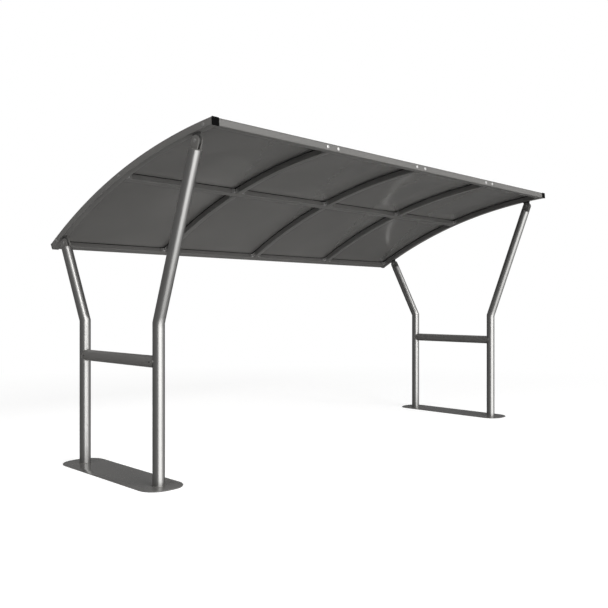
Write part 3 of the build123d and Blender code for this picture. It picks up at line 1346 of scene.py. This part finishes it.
    def make_fork(self, row: Row) -> None:
        """Makes a fork: a cap with eased rims and two round-topped cheeks.

        Args:
            row: Front or rear.
        """
        s = self.sizes
        bolt, (_, lean) = self.bolt_point(row), self.post_points(row)
        up = np.array((0, math.sin(lean), math.cos(lean)))
        across = np.array((0, math.cos(lean), -math.sin(lean)))
        cap = eased_slab(circle(s.post_radius, full_turn(self.post_steps)), s.fork_cap, self.cap_ease)
        parts = [cap.placed(bolt - up * s.fork_rise - up * s.fork_cap, X_AXIS, -across, up)]
        outline = tongue_outline(self.tongue / 2, -s.fork_rise, 0.0)
        plate = eased_slab(outline, self.cheek, self.cheek_ease)
        for start in (-self.fork_gap / 2 - self.cheek, self.fork_gap / 2):
            parts.append(plate.placed(bolt + start * X_AXIS, across, up, X_AXIS))
        self.keep(f"{self.side.label}_{row.label}_fork", FORK_PAINT, Slot.FORK, parts, "body")

    def make_lug(self, row: Row) -> None:
        """Makes a lug: a plate whose foot lies under the rib and whose round end takes the bolt.

        Args:
            row: Front or rear.
        """
        s = self.sizes
        up, along = s.outward(s.lug_angle(row))[0], s.along(s.lug_angle(row))[0]
        top = s.bolt_drop - self.seat_gap
        eye, neck, foot = self.lug_eye / 2, self.lug_neck / 2, self.foot_length / 2
        outline = tee_outline(eye, neck, foot, top - self.lug_foot, top)
        plate = eased_slab(outline, self.lug_thickness, self.lug_ease)
        origin = self.bolt_point(row) - X_AXIS * self.lug_thickness / 2
        shells = [plate.placed(origin, along, up, X_AXIS)]
        # The lug takes the darker coat, which is painted shade for its recess under the rib.
        self.keep(f"{self.side.label}_{row.label}_lug", LUG_SHADE_PAINT, Slot.LUG, shells, "body")

    def make_bolt(self, row: Row) -> None:
        """Makes a clamp bolt: domed head with washer, and nut with washer and thread.

        Args:
            row: Front or rear.
        """
        bolt = self.bolt_point(row)
        half = self.fork_gap / 2 + self.cheek
        head = CLAMP_HEAD.shell().facing(bolt - X_AXIS * half, -X_AXIS)
        nut = CLAMP_NUT.shell().facing(bolt + X_AXIS * half, X_AXIS)
        self.keep(f"{self.side.label}_{row.label}_bolt", CLAMP_COAT, Slot.BOLT, [head, nut], "set")

    def build(self) -> list[bpy.types.Object]:
        """Makes the whole end frame.

        Returns:
            Its pieces.
        """
        self.make_plate()
        self.make_crossbar()
        for row in Row:
            self.make_post(row)
            self.make_fork(row)
            self.make_lug(row)
            self.make_bolt(row)
        return self.pieces


# ------------------------------------------------------------------------------- studio
def board(name: str, corners: list[Triple], paint: bpy.types.Material) -> bpy.types.Object:
    """Flat board that isn't part of the shelter.

    Args:
        name: Name of the board.
        corners: Its four corners.
        paint: Its material.

    Returns:
        The board.
    """
    mesh = bpy.data.meshes.new(name)
    mesh.from_pydata(corners, [], [(0, 1, 2, 3)])
    mesh.materials.append(paint)
    made = shown(name, mesh)
    return made


@dataclass(frozen=True)
class SoftBox:
    """One soft lamp: where it stands, where it points, its size, its power and its beam."""

    name: str
    place: Triple
    aim: Triple
    width: float
    height: float
    watts: float
    beam: float = 180.0

    def build(self) -> None:
        """Makes the lamp; mirrored light meets the cards instead of it."""
        lamp = bpy.data.lights.new(self.name, "AREA")
        lamp.shape = "RECTANGLE"
        lamp.size, lamp.size_y, lamp.energy = self.width, self.height, self.watts
        lamp.spread = math.radians(self.beam)
        holder = shown(self.name, lamp)
        holder.location = self.place
        direction = Vector(self.aim) - Vector(self.place)
        holder.rotation_euler = direction.to_track_quat("-Z", "Y").to_euler()
        holder.visible_camera = holder.visible_glossy = False


@dataclass(frozen=True)
class Card:
    """Upright board far from the shelter that only mirrored light meets.

    It stands between two points of the plan, from a lower to an upper height, and its level is
    its brightness, where 1 is white.
    """

    name: str
    start: tuple[float, float]
    end: tuple[float, float]
    rise: tuple[float, float]
    level: float

    def corners(self) -> list[Triple]:
        """The card's four corners."""
        (low, high), start, end = self.rise, self.start, self.end
        return [(*start, low), (*end, low), (*end, high), (*start, high)]

    def build(self) -> None:
        """Makes the card."""
        glow = bpy.data.materials.new(self.name)
        wiring = Wiring(glow)
        wiring.node("OutputMaterial", wiring.node("Emission", Strength=self.level))
        card = board(self.name, self.corners(), glow)
        card.visible_camera = card.visible_diffuse = card.visible_shadow = False
        card.visible_transmission = card.visible_volume_scatter = False


@dataclass(frozen=True)
class LevelCard(Card):
    """Level card whose start and end are opposite corners, at the first of its two heights."""

    def corners(self) -> list[Triple]:
        """The card's four corners."""
        (x0, y0), (x1, y1), z = self.start, self.end, self.rise[0]
        return [(x0, y0, z), (x1, y0, z), (x1, y1, z), (x0, y1, z)]


@dataclass
class Studio:
    """Pale floor, white surroundings, soft lamps, cards for the metal to mirror and the camera."""

    ambient: float = 0.27
    ambient_tint: tuple[float, float, float, float] = (1.0, 0.995, 0.985, 1.0)
    floor_grey: float = 0.45
    seen_grey: float = 0.5
    seen_glow: float = 0.7
    fade_radii: tuple[float, float] = (3.0, 8.0)
    floor_reach: float = 60.0
    floor_drop: float = 0.0006
    camera_place: Triple = (-4.6955, -4.3975, 1.1836)
    camera_turn: float = -45.067
    lens: float = 42.52
    film: float = 36.0
    farthest: float = 200.0
    lamps: tuple[SoftBox, ...] = (
        SoftBox("key_softbox", (1.0, -16.0, 8.0), (0.0, 0.0, 1.8), 14.0, 5.0, 2600.0),
        SoftBox("left_softbox", (-10.0, -2.0, 4.2), (-2.0, 0.0, 1.5), 6.0, 3.6, 430.0),
        SoftBox("front_bounce", (2.2, -5.0, 0.5), (-0.9, 0.2, 2.9), 4.6, 1.8, 34.0, 80.0),
        SoftBox("floor_bounce", (-0.7, 0.45, 0.02), (-0.7, 0.45, 1.0), 3.4, 1.6, 17.0),
        SoftBox("right_bounce", (7.0, -2.5, -3.2), (-2.0, 0.1, 2.2), 10.0, 9.0, 275.0, 75.0),
    )
    cards: tuple[Card, ...] = (
        Card("front_upper_card", (-19, -25), (10, -25), (12, 60), 5.4),
        Card("front_card", (-19, -25), (10, -25), (-8, 12), 3.6),
        Card("front_lower_card", (-19, -25), (10, -25), (-26, -8), 2.3),
        Card("front_left_card", (-38, -25), (-19, -25), (-26, 60), 1.2),
        Card("left_card", (-12, -14), (-12, 20), (-14, 14), 0.23),
        Card("rear_card", (-12, 20), (18, 20), (0, 14), 0.2),
        Card("rear_lower_card", (-12, 20), (18, 20), (-14, 0), 0.06),
        Card("right_front_card", (18, -14), (18, -2), (-14, 14), 0.5),
        Card("right_card", (18, -2), (18, 20), (0, 14), 0.16),
        Card("right_lower_card", (18, -2), (18, 20), (-14, 0), 0.06),
        LevelCard("lower_card", (-40, -20), (40, 40), (-14, -14), 0.07),
    )

    def make_world(self) -> None:
        """Makes white surroundings for the camera and for gloss, and an even soft light."""
        world = bpy.data.worlds.new("studio_world")
        bpy.context.scene.world = world
        wiring = Wiring(world)
        soft = wiring.node("Background", self.ambient_tint, self.ambient)
        white = wiring.node("Background", WHITE, 1.0)
        wiring.node("OutputWorld", wiring.node("MixShader", wiring.seen(), soft, white))

    def make_floor(self) -> None:
        """Makes the pale floor, which keeps the shelter's shadow and fades into the white."""
        paint = bpy.data.materials.new("studio_floor_paint")
        wiring = Wiring(paint)
        plain = wiring.node("BsdfDiffuse", (*(self.floor_grey,) * 3, 1.0))
        near = wiring.node(
            "AddShader",
            wiring.node("BsdfDiffuse", (*(self.seen_grey,) * 3, 1.0)),
            wiring.node("Emission", WHITE, self.seen_glow),
        )
        distance = wiring.node("VectorMath", wiring.node("TexCoord").outputs["Object"])
        distance.operation = "LENGTH"
        fade = wiring.node("MapRange", distance.outputs["Value"], *self.fade_radii)
        fade.interpolation_type = "SMOOTHSTEP"
        seen = wiring.node("MixShader", fade, near, wiring.node("Emission", WHITE))
        wiring.node("OutputMaterial", wiring.node("MixShader", wiring.seen(), plain, seen))
        far, down = self.floor_reach, -self.floor_drop
        corners = [(-far, -far, down), (far, -far, down), (far, far, down), (-far, far, down)]
        floor = board("studio_floor", corners, paint)
        floor.visible_glossy = floor.visible_shadow = False

    def make_camera(self) -> None:
        """Makes the camera, at chest height off the front left corner."""
        lens = bpy.data.cameras.new("studio_camera")
        lens.lens, lens.sensor_width, lens.clip_end = self.lens, self.film, self.farthest
        camera = shown("studio_camera", lens)
        camera.location = self.camera_place
        camera.rotation_euler = (math.pi / 2, 0.0, math.radians(self.camera_turn))
        bpy.context.scene.camera = camera

    def build(self) -> None:
        """Makes the studio."""
        self.make_world()
        self.make_floor()
        for fitting in (*self.lamps, *self.cards):
            fitting.build()
        self.make_camera()
        bpy.context.scene.view_settings.view_transform = "Standard"


def main() -> None:
    """Builds the shelter and the studio, and reports each piece."""
    logging.basicConfig(level=logging.INFO, format="%(message)s")
    sizes = Sizes()
    pieces = Roof(sizes).build()
    for side in Side:
        pieces += EndFrame(sizes, side).build()
    Studio().build()
    for piece in pieces:
        faces = sum(len(polygon.vertices) - 2 for polygon in piece.data.polygons)
        LOG.info("%s: %d triangles", piece.name, faces)


if __name__ == "__main__":
    main()
